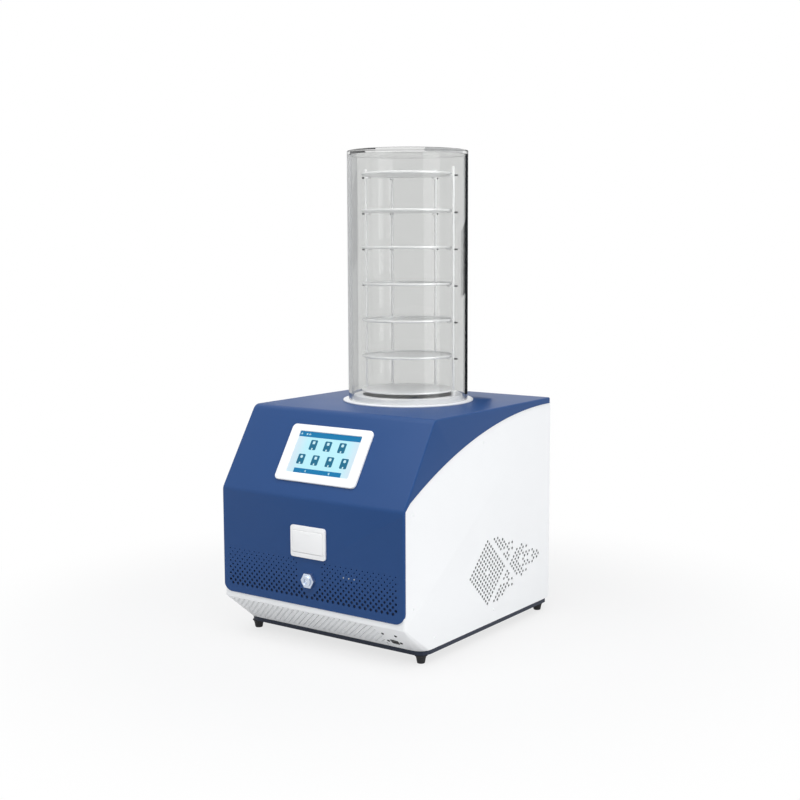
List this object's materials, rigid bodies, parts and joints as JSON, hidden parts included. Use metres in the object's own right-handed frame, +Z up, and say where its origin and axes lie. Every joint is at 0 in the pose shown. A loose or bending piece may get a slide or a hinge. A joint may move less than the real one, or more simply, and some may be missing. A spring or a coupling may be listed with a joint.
{
  "type": "freeze dryer",
  "caption": "Bench-top freeze dryer: white cabinet with a blue folded cover and sloped touch screen, clear cylindrical drying chamber with stacked round trays, panel printer and drain fitting.",
  "frame": {"origin": "on the floor, under the middle of the machine's outline", "axes": "+X to the right of a user facing the front, +Y towards the back, +Z up"},
  "size_m": [0.421, 0.559, 0.919],
  "materials": {
    "cover_blue": "satin powder coat, cobalt blue",
    "shell_white": "satin powder coat, white",
    "base_dark": "satin powder coat, slate",
    "rubber_black": "matte black rubber",
    "seal_white": "matte white polymer",
    "acrylic_clear": "clear polished acrylic",
    "stainless": "brushed stainless steel",
    "bezel_white": "smooth white plastic",
    "screen_glass": "lit touch screen behind glass",
    "module_grey": "satin",
    "printer_white": "fine-grained ivory plastic",
    "paper": "uncoated paper roll",
    "nickel": "polished nickel plate",
    "hose": "translucent silicone",
    "foam": "cut polyurethane foam",
    "copper": "drawn copper",
    "compressor_black": "semi-gloss black",
    "galvanised": "galvanised sheet",
    "fin_aluminium": "mill finish fins",
    "plastic_black": "black moulding",
    "board_green": "solder-masked circuit board"
  },
  "bodies": {
    "cabinet": {"front_cover": "cover_blue", "lower_shell": "shell_white", "rear_panel": "shell_white", "base_tray": "base_dark", "foot_front_left": "rubber_black", "foot_front_right": "rubber_black", "foot_rear_left": "rubber_black", "foot_rear_right": "rubber_black", "grommet_1": "rubber_black", "grommet_2": "rubber_black", "grommet_3": "rubber_black", "grommet_4": "rubber_black", "seal_ring": "seal_white", "acrylic_chamber": "acrylic_clear", "rack_base": "stainless", "rack_rod_1": "stainless", "rack_rod_2": "stainless", "rack_rod_3": "stainless", "rack_rod_4": "stainless", "tray_1": "stainless", "tray_2": "stainless", "tray_3": "stainless", "tray_4": "stainless", "tray_5": "stainless", "tray_6": "stainless", "cold_trap": "stainless", "vacuum_port": "stainless", "screen_bezel": "bezel_white", "touch_panel": "screen_glass", "display_module": "module_grey", "printer_frame": "printer_white", "paper_roll": "paper", "drain_fitting": "nickel", "drain_nut": "nickel", "drain_hose": "hose", "trap_insulation": "foam", "evaporator_coil": "copper", "discharge_line": "copper", "liquid_line": "copper", "capillary_line": "copper", "suction_line": "copper", "filter_drier": "copper", "compressor": "compressor_black", "fan_motor": "compressor_black", "trap_stand": "galvanised", "compressor_plate": "galvanised", "fan_shroud": "galvanised", "electronics_plate": "galvanised", "power_supply": "galvanised", "condenser": "fin_aluminium", "power_inlet": "plastic_black", "switch_body": "plastic_black", "data_port": "plastic_black", "vacuum_gauge": "plastic_black", "control_board": "board_green"},
    "door": {"printer_door": "printer_white"},
    "platen": {"platen_roller": "rubber_black"},
    "fan": {"fan_rotor": "plastic_black"},
    "rocker": {"power_rocker": "plastic_black"}
  },
  "joints": [
    {"name": "printer_door_hinge", "type": "hinge", "parent": "cabinet", "child": "door", "pos_m": [0, -0.272, 0.1895], "axis": [1, 0, 0], "range_deg": [0, 80]},
    {"name": "platen_spin", "type": "hinge", "parent": "door", "child": "platen", "pos_m": [0, -0.2605, 0.219], "axis": [1, 0, 0], "continuous": true},
    {"name": "fan_spin", "type": "hinge", "parent": "cabinet", "child": "fan", "pos_m": [0.1465, 0.0375, 0.121], "axis": [1, 0, 0], "continuous": true},
    {"name": "power_rocker_tilt", "type": "hinge", "parent": "cabinet", "child": "rocker", "pos_m": [-0.1, 0.2345, 0.08], "axis": [1, 0, 0], "range_deg": [-8, 8]}
  ]
}
